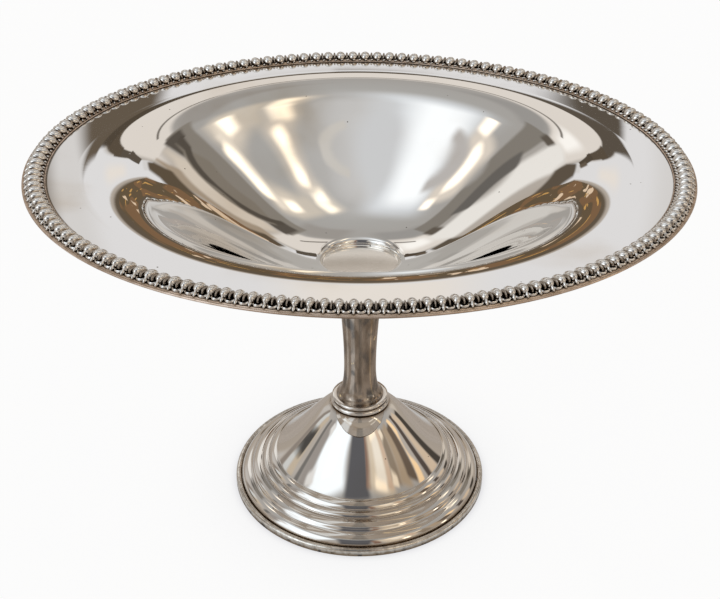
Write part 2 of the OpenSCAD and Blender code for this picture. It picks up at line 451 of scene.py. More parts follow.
def roundTheRim(unit, name):
    copies = []
    for turn, stretch in beadTurns():
        part = unit.copy()
        part.data = unit.data.copy()
        part.data.transform(Matrix.Rotation(turn, 4, "Z") @ Matrix.Diagonal((1, stretch, 1, 1)))
        bpy.context.collection.objects.link(part)
        copies.append(part)
    clearSelection()
    unit.select_set(True)
    bpy.ops.object.delete()
    clearSelection()
    for part in copies:
        part.select_set(True)
    bpy.context.view_layer.objects.active = copies[0]
    bpy.ops.object.join()
    ring = bpy.context.object
    ring.name = ring.data.name = name
    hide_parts("rim_border")
    return ring


borderStrip = makeStrip()
borderBeads = roundTheRim(makeBeadUnit(), "borderBeads")
borderDarts = roundTheRim(makeDartUnit(), "borderDarts")
borderTrim = roundTheRim(makeTrimUnit(), "borderTrim")
print("border made")

# Stem
stemShape = {
    "footR": 10.3 * mm,
    "waistR": 7.0 * mm,
    "topR": 15.0 * mm,
    "wall": 1.3 * mm,
    "edgeShare": 0.6,
    "waistShare": 0.24,
    "neckShare": 0.62,
    "neckRShare": 0.14,
    "footPulls": ((0.6, 0.08), (1.0, 0.35)),
    "neckPulls": ((0.0, 0.4), (0.55, 0.72)),
    "flarePulls": ((0.12, 0.5), (0.42, 0.88)),
    "turns": 128,
    "segments": 16,
}


def makeStem():
    shape = stemShape
    rise = bowlBaseZ - stemZ
    edge = (shape["footR"], stemZ + shape["wall"] * shape["edgeShare"])
    waist = (shape["waistR"], stemZ + rise * shape["waistShare"])
    neck = (shape["waistR"] + (shape["topR"] - shape["waistR"]) * shape["neckRShare"],
            stemZ + rise * shape["neckShare"])
    top = (shape["topR"], bowlBaseZ)
    face = [
        pulledSpan(edge, waist, shape["footPulls"]),
        pulledSpan(waist, neck, shape["neckPulls"]),
        pulledSpan(neck, top, shape["flarePulls"]),
    ]
    inside = backOfSheet([list(reversed(span)) for span in reversed(face)], shape["wall"])
    inside = [list(reversed(span)) for span in reversed(inside)]
    innerTop = (top[0] - shape["wall"], bowlBaseZ)
    innerFoot = (shape["footR"] - shape["wall"], stemZ)
    inside[0][0] = innerTop
    inside[-1][3] = innerFoot
    foot = (shape["footR"], stemZ)
    loop = [straightSpan(foot, edge)] + face + [straightSpan(top, innerTop)] + inside
    loop.append(straightSpan(innerFoot, foot))
    piece = spunPiece("stemTube", loop, shape["turns"], shape["segments"])
    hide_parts("stem")
    return piece


# Collar: two beads with a groove between them, and a spigot that centres the stem
collarShape = {
    "outerR": 13.0 * mm,
    "rise": 4.5 * mm,
    "lowerShare": 0.28,
    "upperShare": 0.17,
    "grooveShare": 0.91,
    "upperEdgeShare": 0.96,
    "boreR": 3.1 * mm,
    # painted shade and grime in the grooves: reach, dark and bright openness
    "grimeAndShade": (2.4 * mm, 0.4, 1.05),
    "spigotR": 5.4 * mm,
    "spigotRise": 2.0 * mm,
    "turns": 128,
    "segments": 8,
}


def arcSpans(centre, radius, fromAngle, toAngle, pieces=2):  # an arc drawn as cubic spans
    spans = []
    for index in range(pieces):
        a = fromAngle + (toAngle - fromAngle) * index / pieces
        b = fromAngle + (toAngle - fromAngle) * (index + 1) / pieces
        pull = radius * 4 / 3 * math.tan((b - a) / 4)
        start = (centre[0] + radius * math.cos(a), centre[1] + radius * math.sin(a))
        end = (centre[0] + radius * math.cos(b), centre[1] + radius * math.sin(b))
        spans.append([start, (start[0] - pull * math.sin(a), start[1] + pull * math.cos(a)),
                      (end[0] + pull * math.sin(b), end[1] - pull * math.cos(b)), end])
    return spans


def makeCollar():
    shape = collarShape
    lower = shape["rise"] * shape["lowerShare"]
    upper = shape["rise"] * shape["upperShare"]
    grooveR = shape["outerR"] * shape["grooveShare"]
    topZ = collarZ + shape["rise"]
    lowerCentre = (shape["outerR"] - lower, collarZ + lower)
    upperCentre = (shape["outerR"] * shape["upperEdgeShare"] - upper, topZ - upper)
    lowTurn = math.acos((grooveR - lowerCentre[0]) / lower)
    highTurn = math.acos((grooveR - upperCentre[0]) / upper)
    lowArc = arcSpans(lowerCentre, lower, -math.pi / 2, lowTurn)
    highArc = arcSpans(upperCentre, upper, -highTurn, math.pi / 2)
    start = (shape["boreR"], collarZ)
    spigotZ = topZ + shape["spigotRise"]
    after = [(shape["spigotR"], topZ), (shape["spigotR"], spigotZ),
             (shape["boreR"], spigotZ), start]
    groove = straightSpan(lowArc[-1][3], highArc[0][0])
    loop = [straightSpan(start, lowArc[0][0])] + lowArc + [groove] + highArc
    loop += straightSpans([highArc[-1][3]] + after)
    piece = spunPiece("collarRing", loop, shape["turns"], shape["segments"])
    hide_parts("collar")
    return piece


# Foot. Its bell end and its steps are shares of the foot's radius and height, and a step also
# has its bulge
footShape = {
    "wall": 1.2 * mm,
    "seatR": 13.0 * mm,
    "boreR": 3.1 * mm,
    "solderGap": 0.05 * mm,
    "bellEnd": (0.665, 0.357),
    "bellPulls": ((0.24, 0.127), (0.6, 0.663)),
    "steps": (
        (0.724, 0.304, 0.1),
        (0.731, 0.286, 0),
        (0.777, 0.255, 0.12),
        (0.782, 0.237, 0),
        (0.854, 0.199, 0.1),
        (0.887, 0.158, -0.12),
    ),
    "outerRing": 0.12,
    "skirtEndShare": 0.25,
    "edgeReach": 0.4 * mm,
    # painted shade and grime in the grooves: reach, dark and bright openness
    "grimeAndShade": (2.2 * mm, 0.78, 0.975),
    "turns": 192,
    "segments": 10,
}
# Half-round wire round the base
wireShape = {
    "width": 2.6 * mm,
    "edgeReach": 0.15 * mm,
    "turns": 192,
    "segments": 6,
}


def makeFoot():
    shape = footShape
    skirtR = footR - wireShape["width"] - shape["solderGap"]
    seat = (shape["seatR"], collarZ)
    here = (footR * shape["bellEnd"][0], collarZ * shape["bellEnd"][1])
    bore = (shape["boreR"], collarZ)
    face = [straightSpan(bore, seat), pulledSpan(seat, here, shape["bellPulls"])]
    for radiusPart, heightPart, bulge in shape["steps"]:
        there = (footR * radiusPart, collarZ * heightPart)
        face.append(bulgedSpan(here, there, bulge))
        here = there
    ringEnd = (skirtR, wireTopZ)
    face.append(bulgedSpan(here, ringEnd, shape["outerRing"]))
    face.append(straightSpan(ringEnd, (skirtR, wireTopZ * shape["skirtEndShare"])))
    back = backOfSheet(face, shape["wall"])
    closing = straightSpan(face[-1][3], back[0][0])
    top = straightSpan(back[-1][3], face[0][0])
    loop = softened(face, shape["edgeReach"]) + [closing] + back + [top]
    piece = spunPiece("footBell", loop, shape["turns"], shape["segments"])
    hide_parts("foot")
    return piece


def makeWire():
    shape = wireShape
    half = shape["width"] / 2
    centre = (footR - half, wireTopZ - half)
    arc = arcSpans(centre, half, 0, math.pi)
    inner, outer = (footR - shape["width"], 0), (footR, 0)
    loop = [straightSpan(outer, arc[0][0])] + arc
    loop += [straightSpan(arc[-1][3], inner), straightSpan(inner, outer)]
    loop = softened(loop, shape["edgeReach"])
    piece = spunPiece("baseWire", loop, shape["turns"], shape["segments"])
    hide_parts("foot_rim")
    return piece


stemTube = makeStem()
collarRing = makeCollar()
footBell = makeFoot()
baseWire = makeWire()
print("stem, collar and foot made")


# Materials. A noise is its scale, its detail, its low and high cut and, where it is stretched,
# its stretch and turn. Pits are the cells' scale, the pits' size and their share of the cells.
# A bump is its distance and strength

def setSocket(tree, socket, value):  # links another socket, or sets a plain value
    if isinstance(value, bpy.types.NodeSocket):
        tree.links.new(value, socket)
    else:
        socket.default_value = value


def maths(tree, operation, *terms):
    node = tree.nodes.new("ShaderNodeMath")
    node.operation = operation
    for socket, term in zip(node.inputs, terms):
        setSocket(tree, socket, term)
    return node.outputs[0]


def ranged(tree, value, low, high, atLow=0.0, atHigh=1.0, kind="LINEAR"):
    node = tree.nodes.new("ShaderNodeMapRange")
    node.interpolation_type = kind
    setSocket(tree, node.inputs["Value"], value)
    setSocket(tree, node.inputs["From Min"], low)
    setSocket(tree, node.inputs["From Max"], high)
    node.inputs["To Min"].default_value = atLow
    node.inputs["To Max"].default_value = atHigh
    return node.outputs["Result"]


def splitPlace(tree, place):
    split = tree.nodes.new("ShaderNodeSeparateXYZ")
    tree.links.new(place, split.inputs["Vector"])
    return split.outputs


def lengthOf(tree, vector):
    length = tree.nodes.new("ShaderNodeVectorMath")
    length.operation = "LENGTH"
    tree.links.new(vector, length.inputs[0])
    return length.outputs["Value"]


def newMaterial(name):
    material = bpy.data.materials.new(name)
    material.use_nodes = True
    tree = material.node_tree
    place = tree.nodes.new("ShaderNodeTexCoord").outputs["Object"]
    return material, tree, tree.nodes["Principled BSDF"], place


def noiseMask(tree, place, scale, detail, low, high, stretch=(1, 1, 1), turn=(0, 0, 0)):
    mapping = tree.nodes.new("ShaderNodeMapping")
    mapping.inputs["Scale"].default_value = stretch
    mapping.inputs["Rotation"].default_value = turn
    noise = tree.nodes.new("ShaderNodeTexNoise")
    noise.inputs["Scale"].default_value = scale
    noise.inputs["Detail"].default_value = detail
    tree.links.new(place, mapping.inputs["Vector"])
    tree.links.new(mapping.outputs["Vector"], noise.inputs["Vector"])
    return ranged(tree, noise.outputs["Fac"], low, high, kind="SMOOTHSTEP")


def mixedColour(tree, mask, first, second):
    mix = tree.nodes.new("ShaderNodeMix")
    mix.data_type = "RGBA"
    tree.links.new(mask, mix.inputs["Factor"])
    for socket, value in ((mix.inputs[6], first), (mix.inputs[7], second)):
        isLink = isinstance(value, bpy.types.NodeSocket)
        setSocket(tree, socket, value if isLink else (*value, 1))
    return mix.outputs[2]


def pitMask(tree, place, scale, size, share):  # round specks on a share of the cells
    cells = tree.nodes.new("ShaderNodeTexVoronoi")
    cells.inputs["Scale"].default_value = scale
    tree.links.new(place, cells.inputs["Vector"])
    near = ranged(tree, cells.outputs["Distance"], size, size / 2)
    pick = tree.nodes.new("ShaderNodeSeparateColor")
    tree.links.new(cells.outputs["Color"], pick.inputs["Color"])
    return maths(tree, "MULTIPLY", near, maths(tree, "LESS_THAN", pick.outputs[0], share))


def scaledSum(tree, terms):  # adds masks, each times its weight
    total = 0.0
    for mask, weight in terms:
        total = maths(tree, "MULTIPLY_ADD", mask, weight, total)
    return total


def addBump(tree, shader, height, distance, strength):
    bump = tree.nodes.new("ShaderNodeBump")
    bump.inputs["Strength"].default_value = strength
    bump.inputs["Distance"].default_value = distance
    tree.links.new(height, bump.inputs["Height"])
    tree.links.new(bump.outputs["Normal"], shader.inputs["Normal"])


def heightShare(tree, place, low, high):  # nought at one height and one at another
    return ranged(tree, splitPlace(tree, place)["Z"], low, high)


def recessShare(tree, reach, low, high):  # nought deep in a recess and one in the open
    hollow = tree.nodes.new("ShaderNodeAmbientOcclusion")
    hollow.samples = 8
    hollow.inputs["Distance"].default_value = reach
    return ranged(tree, hollow.outputs["AO"], low, high)


def centreMask(tree, place, radius, softness):  # one inside a radius from the axis
    flat = tree.nodes.new("ShaderNodeVectorMath")
    flat.operation = "MULTIPLY"
    flat.inputs[1].default_value = (1, 1, 0)
    tree.links.new(place, flat.inputs[0])
    return ranged(tree, lengthOf(tree, flat.outputs["Vector"]), radius - softness, radius, 1, 0)


plateLook = {
    "silver": (0.86, 0.84, 0.81),
    "tarnish": (0.66, 0.58, 0.48),
    "pit": (0.10, 0.08, 0.06),
    # colour of the painted shade and grime deep in the grooves
    "grimeAndShade": (0.30, 0.235, 0.175),
    "medallion": (0.99, 0.94, 0.87),
    "metallic": 1.0,
    "roughness": 0.016,
    "hazeRoughness": 0.02,
    "pitRoughness": 0.4,
    "scratchRoughness": 0.006,
    "medallionRoughness": 0.11,
    "medallionSoftness": 0.3 * mm,
    "scratchDepth": -0.04,
    "pitDepth": -1.0,
    "bump": (0.00002, 0.3),
    "haze": (28, 5, 0.45, 0.75),
    "warm": (14, 4, 0.5, 0.8),
    "pits": (260, 0.10, 0.10),
    "scratches": (
        (240, 2, 0.6, 0.64, (1, 0.02, 0.05), (0.2, 0.1, 0.5)),
        (260, 2, 0.61, 0.65, (0.03, 1, 0.04), (0.1, 0.4, -0.9)),
        (220, 2, 0.62, 0.66, (1, 0.025, 0.03), (0.3, 0.2, 1.9)),
    ),
}


# Bright plate, dulled by use inside wornR. Painted shade and grime darken its grooves. They are
# set by the reach and the dark and bright openness of the grooves that hold them
def plateMaterial(name, wornR, grimeAndShade=None):
    look = plateLook
    material, tree, shader, place = newMaterial(name)
    shader.inputs["Metallic"].default_value = look["metallic"]
    haze = noiseMask(tree, place, *look["haze"])
    warm = noiseMask(tree, place, *look["warm"])
    pits = pitMask(tree, place, *look["pits"])
    scratches = [noiseMask(tree, place, *scratch) for scratch in look["scratches"]]
    worn = centreMask(tree, place, wornR, look["medallionSoftness"])
    colour = mixedColour(tree, warm, look["silver"], look["tarnish"])
    colour = mixedColour(tree, worn, colour, look["medallion"])
    colour = mixedColour(tree, pits, colour, look["pit"])
    if grimeAndShade:
        # painted shade and grime: darker where the ambient occlusion finds a groove
        colour = mixedColour(tree, recessShare(tree, *grimeAndShade), look["grimeAndShade"], colour)
    tree.links.new(colour, shader.inputs["Base Color"])
    rough = scaledSum(tree, [(haze, look["hazeRoughness"]), (pits, look["pitRoughness"]),
                             (worn, look["medallionRoughness"])]
                      + [(mask, look["scratchRoughness"]) for mask in scratches])
    tree.links.new(maths(tree, "ADD", rough, look["roughness"]), shader.inputs["Roughness"])
    height = scaledSum(tree, [(mask, look["scratchDepth"]) for mask in scratches]
                       + [(pits, look["pitDepth"])])
    addBump(tree, shader, height, *look["bump"])
    return material


stemLook = {
    "bright": (0.50, 0.43, 0.365),
    "brown": (0.25, 0.20, 0.155),
    "black": (0.17, 0.16, 0.15),
    "gold": (0.95, 0.75, 0.45),
    "metallic": 0.75,
    "roughness": (0.07, 0.2),
    "grainHeight": 0.5,
    "stainHeight": 0.8,
    "bump": (0.00004, 0.5),
    "grain": (260, 5, 0.35, 0.7, (1, 1, 0.3)),
    "stain": (190, 5, 0.5, 0.7, (1, 1, 0.6)),
    "paleShare": (420, 2, 0.7, 0.74, (1, 1, 0.6)),
}


def stemMaterial():  # brown tarnish with upright grain, black stains and a few rubbed gold spots
    look = stemLook
    material, tree, shader, place = newMaterial("stemTarnish")
    shader.inputs["Metallic"].default_value = look["metallic"]
    grain = noiseMask(tree, place, *look["grain"])
    stain = noiseMask(tree, place, *look["stain"])
    paleShare = noiseMask(tree, place, *look["paleShare"])
    colour = mixedColour(tree, grain, look["bright"], look["brown"])
    colour = mixedColour(tree, stain, colour, look["black"])
    colour = mixedColour(tree, paleShare, colour, look["gold"])
    tree.links.new(colour, shader.inputs["Base Color"])
    rough = ranged(tree, grain, 0, 1, *look["roughness"])
    tree.links.new(rough, shader.inputs["Roughness"])
    height = scaledSum(tree, [(grain, look["grainHeight"]), (stain, look["stainHeight"])])
    addBump(tree, shader, height, *look["bump"])
    return material


borderLook = {
    "silver": (0.84, 0.82, 0.79),
    "gold": (0.42, 0.30, 0.20),
    "lip": (0.80, 0.66, 0.56),
    "ridge": (0.42, 0.37, 0.32),
    # colour of the painted shade and oxide low down and in the recesses
    "dark": (0.05, 0.042, 0.036),
    "darkStop": 0.1,
    "goldStop": 0.4,
    "brightStop": 0.75,
    "darkRoughness": 0.4,
    "reach": 1.6 * mm,
    "bump": (0.00001, 0.2),
    "stain": (300, 3, 0.35, 0.75),
    "finishes": {
        "beads": {
            "name": "beadSilver",
            "bright": "silver",
            "heights": (0.7 * mm, 2.3 * mm),
            "openness": (0.15, 0.55),
            "stainShare": 0.08,
            "roughness": 0.07,
        },
        "darts": {
            "name": "dartBrown",
            "bright": "ridge",
            "heights": (-2.0 * mm, 2.6 * mm),
            "openness": (-0.1, 0.45),
            "stainShare": 0.1,
            "roughness": 0.2,
        },
        "trim": {
            "name": "trimSilver",
            "bright": "silver",
            "heights": (-0.2 * mm, 1.1 * mm),
            "openness": (0.02, 0.3),
            "stainShare": 0.1,
            "roughness": 0.1,
        },
        "strip": {
            "name": "stripSilver",
            "bright": "lip",
            "heights": (-0.2 * mm, 0.3 * mm),
            "openness": (0.6, 1.15),
            "stainShare": 0.2,
            "roughness": 0.2,
        },
    },
}


def borderMaterial(kind):  # dark low down and in the recesses from painted shade and oxide, bright silver where it stands high and open and is rubbed
    look = borderLook
    finish = look["finishes"][kind]
    material, tree, shader, place = newMaterial(finish["name"])
    shader.inputs["Metallic"].default_value = 1.0
    stain = noiseMask(tree, place, *look["stain"])
    low, high = finish["heights"]
    # painted shade and oxide: the share of bright metal grows with height and with openness to
    # the ambient occlusion
    paleShare = maths(tree, "MULTIPLY", heightShare(tree, place, flangeZ + low, flangeZ + high),
                   recessShare(tree, look["reach"], *finish["openness"]))
    bareAndUnshaded = maths(tree, "MULTIPLY_ADD", stain, -finish["stainShare"], paleShare)
    ramp = tree.nodes.new("ShaderNodeValToRGB")
    stops = ramp.color_ramp.elements
    stops[0].position, stops[0].color = look["darkStop"], (*look["dark"], 1)
    stops[1].position, stops[1].color = look["brightStop"], (*look[finish["bright"]], 1)
    stops.new(look["goldStop"]).color = (*look["gold"], 1)
    tree.links.new(bareAndUnshaded, ramp.inputs["Fac"])
    tree.links.new(ramp.outputs["Color"], shader.inputs["Base Color"])
    rough = ranged(tree, bareAndUnshaded, 0, 1, look["darkRoughness"], finish["roughness"])
    tree.links.new(rough, shader.inputs["Roughness"])
    addBump(tree, shader, stain, *look["bump"])
    return material


wireLook = {
    "silver": (0.80, 0.77, 0.72),
    "brown": (0.30, 0.235, 0.17),
    "black": (0.07, 0.055, 0.045),
    "edge": (0.5 * mm, 2.1 * mm),
    "speckShare": 0.35,
    "roughness": (0.45, 0.09),
    "bump": (0.00003, 0.4),
    "specks": (520, 4, 0.42, 0.62),
    "spots": (340, 3, 0.55, 0.65),
}


def wireMaterial():  # silver on top, worn to speckled brown at the edge it stands on
    look = wireLook
    material, tree, shader, place = newMaterial("wireWorn")
    shader.inputs["Metallic"].default_value = 1.0
    specks = noiseMask(tree, place, *look["specks"])
    spots = noiseMask(tree, place, *look["spots"])
    clean = maths(tree, "MULTIPLY_ADD", specks, -look["speckShare"],
                  heightShare(tree, place, *look["edge"]))
    clean.node.use_clamp = True
    worn = mixedColour(tree, spots, look["brown"], look["black"])
    colour = mixedColour(tree, clean, worn, look["silver"])
    tree.links.new(colour, shader.inputs["Base Color"])
    rough = ranged(tree, clean, 0, 1, *look["roughness"])
    tree.links.new(rough, shader.inputs["Roughness"])
    addBump(tree, shader, specks, *look["bump"])
    return material


# The pieces inside keep their own shapes: for each its material's name, its bright and dark
# colours, the scale of the dark patches, its bright and dark roughness and its bumps' distance
hiddenLook = {
    "bowl_boss": ("bossSolder", (0.5, 0.45, 0.36), (0.3, 0.26, 0.2), 150, (0.4, 0.6), 0.0001),
    "tie_rod": ("rodBrass", (0.6, 0.5, 0.32), (0.35, 0.27, 0.17), 200, (0.3, 0.5), 0.00005),
    "washer": ("washerBrass", (0.62, 0.52, 0.33), (0.38, 0.3, 0.2), 220, (0.3, 0.5), 0.00005),
    "nut": ("nutBrass", (0.64, 0.53, 0.34), (0.36, 0.28, 0.18), 240, (0.28, 0.5), 0.00005),
}
hiddenDetail = {
    "patches": (6, 0.4, 0.7),
    "pits": (320, 0.2, 0.2),
    "patchHeight": 0.6,
    "pitDepth": -1.0,
    "bumpStrength": 0.5,
}


def hiddenMaterial(name, bright, dark, scale, roughness, bumpDistance):
    detail = hiddenDetail
    material, tree, shader, place = newMaterial(name)
    shader.inputs["Metallic"].default_value = 1.0
    patches = noiseMask(tree, place, scale, *detail["patches"])
    pits = pitMask(tree, place, *detail["pits"])
    colour = mixedColour(tree, patches, bright, dark)
    colour = mixedColour(tree, pits, colour, plateLook["pit"])
    tree.links.new(colour, shader.inputs["Base Color"])
    rough = ranged(tree, patches, 0, 1, *roughness)
    tree.links.new(rough, shader.inputs["Roughness"])
    height = scaledSum(tree, [(patches, detail["patchHeight"]), (pits, detail["pitDepth"])])
    addBump(tree, shader, height, bumpDistance, detail["bumpStrength"])
    return material


def dress(piece, material):
    piece.data.materials.clear()
    piece.data.materials.append(material)
    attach(piece, "root")


coveredR = collarShape["spigotR"]  # on the foot and the collar the stem covers the worn disc
dress(bowlSheet, plateMaterial("bowlPlate", bowlShape["medallionR"]))
dress(footBell, plateMaterial("footPlate", coveredR, footShape["grimeAndShade"]))
dress(borderBeads, borderMaterial("beads"))
dress(borderDarts, borderMaterial("darts"))
dress(borderTrim, borderMaterial("trim"))
dress(borderStrip, borderMaterial("strip"))
dress(stemTube, stemMaterial())
dress(collarRing, plateMaterial("collarPlate", coveredR, collarShape["grimeAndShade"]))
dress(baseWire, wireMaterial())
for node, look in hiddenLook.items():
    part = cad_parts[node]
    part.data.materials.clear()
    part.data.materials.append(hiddenMaterial(*look))
print("materials set")


# Room seen in the metal: patches of the sky dome, by azimuth and elevation in degrees
# Azimuth 0 is on the camera's side and grows to the right, and a turn tips the patch
# Light that met the metal more than once sees a paler tone, in the room only behind the bowl
room = {
    "strength": 1.0,
    "againShare": 0.6,
    "againTone": (0.66, 0.655, 0.65),
    "againBehind": 0.4,
    "ramp": (
        (0.0, (0.42, 0.37, 0.32)),
        (0.2, (0.46, 0.40, 0.34)),
        (0.42, (0.52, 0.48, 0.44)),
        (0.7, (0.42, 0.405, 0.39)),
        (0.88, (0.45, 0.445, 0.435)),
        (0.97, (0.52, 0.515, 0.51)),
        (1.0, (0.64, 0.64, 0.645)),
    ),
}
# azimuth, elevation, half width, half height, softness, colour, turn
roomPatches = [
    (-110, 71, 17, 12, 6, (0.78, 0.82, 0.87), 0),
    (-60, 83, 9, 7, 4, (0.68, 0.70, 0.73), 0),
    (-112, 68, 9, 8, 5, (1.15, 1.2, 1.25), 0),
    (84, 80.5, 1.2, 5, 0.8, (0.66, 0.64, 0.61), 0),
    (138, 58, 6, 7, 3, (0.68, 0.62, 0.54), 0),
    (136, 69.5, 8, 3.5, 3, (0.85, 0.77, 0.67), 0),
    (128, 69, 3, 2.5, 2, (1.9, 1.7, 1.4), 0),
    (144, 68, 4, 2.2, 2, (1.6, 1.45, 1.2), 0),
    (135, 52, 5, 5, 3, (0.78, 0.70, 0.60), 0),
    (136.5, 54, 2.4, 2.4, 1.8, (1.9, 1.7, 1.4), 0),
    (112, 65.5, 5, 4, 3, (0.75, 0.68, 0.60), 0),
    (111, 65.5, 2.4, 2, 1.8, (2.0, 1.75, 1.4), 0),
    (129, 48.5, 6.5, 1.6, 1.2, (0.95, 0.86, 0.74), -12),
    (130.5, 46.8, 2.2, 1.8, 1.4, (2.0, 1.75, 1.4), 0),
    (-125, 52, 4, 5.5, 2, (0.80, 0.73, 0.65), 0),
    (-132.5, 55.5, 2.2, 1.8, 1.4, (1.9, 1.7, 1.45), 0),
    (-123, 51, 1.6, 2.4, 1.4, (1.9, 1.7, 1.45), 0),
    (-117, 57.5, 2, 5, 1.5, (0.55, 0.53, 0.52), 0),
    (165, 47, 8, 5, 2, (0.37, 0.35, 0.33), 0),
    (-163, 45, 8, 4, 2, (0.36, 0.35, 0.34), 0),
    (180, 34.5, 20, 7, 1.2, (0.82, 0.77, 0.72), 0),
    (-165, 34.5, 5, 3.5, 2.5, (1.1, 1.08, 1.05), 0),
    (-150, 30, 7, 6, 1.5, (0.92, 0.90, 0.87), 0),
    (151, 27, 4, 6, 2, (0.72, 0.64, 0.55), 0),
    (157, 23, 2.5, 4, 1, (0.42, 0.34, 0.26), 0),
    (146, 40, 9.5, 4.8, 0.8, (0.27, 0.245, 0.215), -10),
    (153, 38, 3.2, 4, 1, (0.11, 0.095, 0.08), -10),
    (144.5, 31.5, 4.2, 6, 0.8, (0.24, 0.21, 0.175), 10),
    (148, 35, 1.2, 6, 0.6, (0.10, 0.085, 0.07), 12),
    (-143, 42.8, 9, 4.2, 0.8, (0.25, 0.23, 0.205), 5),
    (-138, 37.5, 3.5, 2.6, 0.8, (0.15, 0.14, 0.13), 0),
    (-153, 38.5, 2.5, 2.5, 1, (0.13, 0.11, 0.09), 0),
    (171, 38.3, 6.6, 0.45, 0.35, (0.2, 0.18, 0.16), -24),
    (188.5, 38.8, 6.6, 0.45, 0.35, (0.24, 0.22, 0.2), 15),
    (180, 21.3, 17, 4.4, 0.5, (0.82, 0.82, 0.84), 0),
    (180, 21, 4, 2.2, 2, (0.89, 0.84, 0.79), 0),
    (-164.8, 22.6, 1.6, 2.6, 0.8, (0.74, 0.73, 0.73), 0),
    (165.2, 22.6, 1.6, 2.6, 0.8, (0.74, 0.73, 0.73), 0),
    (177, 26.9, 4.6, 1.2, 0.25, (0.11, 0.09, 0.07), 0),
    (-176, 27.2, 4.6, 1.25, 0.25, (0.11, 0.085, 0.06), 0),
    (171.2, 25.9, 3.1, 1.5, 0.25, (0.11, 0.09, 0.07), -27),
    (-169.6, 26.0, 3.5, 1.25, 0.25, (0.09, 0.07, 0.05), 27),
    (-168, 24.1, 1.8, 0.9, 0.5, (0.14, 0.11, 0.08), 27),
    (180, 9, 15, 6.5, 0.8, (0.13, 0.10, 0.07), 0),
    (161, 20, 3, 4.5, 0.8, (0.12, 0.09, 0.06), 0),
    (-161, 20, 3, 5, 0.8, (0.12, 0.095, 0.07), 0),
    (-55, 31, 20, 22, 4, (1.15, 1.23, 1.30), 0),
    (-53, 30, 5, 9, 3, (2.6, 2.75, 2.9), 0),
    (-84, 30, 6, 12, 3, (0.36, 0.33, 0.31), 0),
    (-93, 27, 2.5, 9, 1.5, (0.20, 0.19, 0.18), -15),
    (-78, 37, 4, 4, 2, (0.85, 0.84, 0.83), 0),
    (-3, 39, 12.5, 20, 3, (0.12, 0.12, 0.13), 0),
    (17, 37, 3, 14, 1.5, (0.27, 0.17, 0.13), 0),
    (38, 35, 13, 17, 4, (0.76, 0.65, 0.51), 0),
    (39, 42, 6, 9, 3, (0.98, 0.90, 0.78), 0),
    (37, 48, 6, 2.2, 2, (1.3, 1.1, 0.85), 0),
    (43, 24, 3, 3.5, 1.5, (2.8, 2.5, 2.0), 0),
    (52, 38, 3, 10, 2, (0.70, 0.53, 0.40), 0),
    (62, 30, 5, 13, 2, (0.31, 0.25, 0.19), 0),
    (60, 42, 3, 3, 1.5, (1.0, 0.86, 0.68), 0),
    (75, 30, 6, 12, 3, (0.46, 0.36, 0.26), 0),
    (78, 8, 2.5, 5, 1.5, (2.6, 2.3, 1.9), 0),
    (85, 27, 5, 9, 2, (0.16, 0.12, 0.09), 0),
    (95, 31, 3, 7, 1.5, (1.1, 0.8, 0.48), 0),
    (106, 24, 3.5, 9, 1.5, (0.10, 0.08, 0.07), 20),
    (115, 19, 5, 8, 2, (0.70, 0.56, 0.42), 0),
    (124, 10, 5, 8, 2, (0.07, 0.06, 0.05), 20),
    (137, 18, 5, 8, 3, (0.62, 0.56, 0.49), 0),
    (-106, 21, 4, 9, 2, (0.60, 0.51, 0.40), 0),
    (-114, 21, 3.5, 9, 2, (0.68, 0.69, 0.68), 0),
    (-110, 13, 8, 2.5, 1.5, (0.08, 0.075, 0.07), -35),
    (-121, 18, 3, 12, 1.5, (0.30, 0.26, 0.23), 0),
    (-131, 18, 6, 10, 3, (0.58, 0.55, 0.52), 0),
    (60, 4, 16, 4, 4, (0.95, 0.88, 0.78), 0),
    (-60, 4, 22, 4, 4, (0.95, 0.94, 0.93), 0),
]


def patchGroup():
    group = bpy.data.node_groups.new("roomPatch", "ShaderNodeTree")
    sockets = group.interface
    for name in ("Direction", "Centre", "Right", "Up"):
        sockets.new_socket(name, in_out="INPUT", socket_type="NodeSocketVector")
    for name in ("Half Width", "Half Height", "Softness"):
        sockets.new_socket(name, in_out="INPUT", socket_type="NodeSocketFloat")
    sockets.new_socket("Mask", in_out="OUTPUT", socket_type="NodeSocketFloat")
    given = group.nodes.new("NodeGroupInput")
    result = group.nodes.new("NodeGroupOutput")

    def along(axis):
        dot = group.nodes.new("ShaderNodeVectorMath")
        dot.operation = "DOT_PRODUCT"
        group.links.new(given.outputs["Direction"], dot.inputs[0])
        group.links.new(given.outputs[axis], dot.inputs[1])
        return dot.outputs["Value"]

    def inside(axis, half):
        softness = given.outputs["Softness"]
        sharp = maths(group, "SUBTRACT", given.outputs[half], softness)
        wide = maths(group, "ADD", given.outputs[half], softness)
        away = maths(group, "ABSOLUTE", along(axis))
        return ranged(group, away, sharp, wide, 1, 0, "SMOOTHSTEP")

    both = maths(group, "MULTIPLY", inside("Right", "Half Width"), inside("Up", "Half Height"))
    ahead = maths(group, "GREATER_THAN", along("Centre"), 0.0)
    group.links.new(maths(group, "MULTIPLY", both, ahead), result.inputs["Mask"])
    return group


def secondBounce(tree):  # a share for light that met the metal more than once
    seen = tree.nodes.new("ShaderNodeLightPath")
    again = maths(tree, "GREATER_THAN", seen.outputs["Glossy Depth"], 1.5)
    return maths(tree, "MULTIPLY", again, room["againShare"])


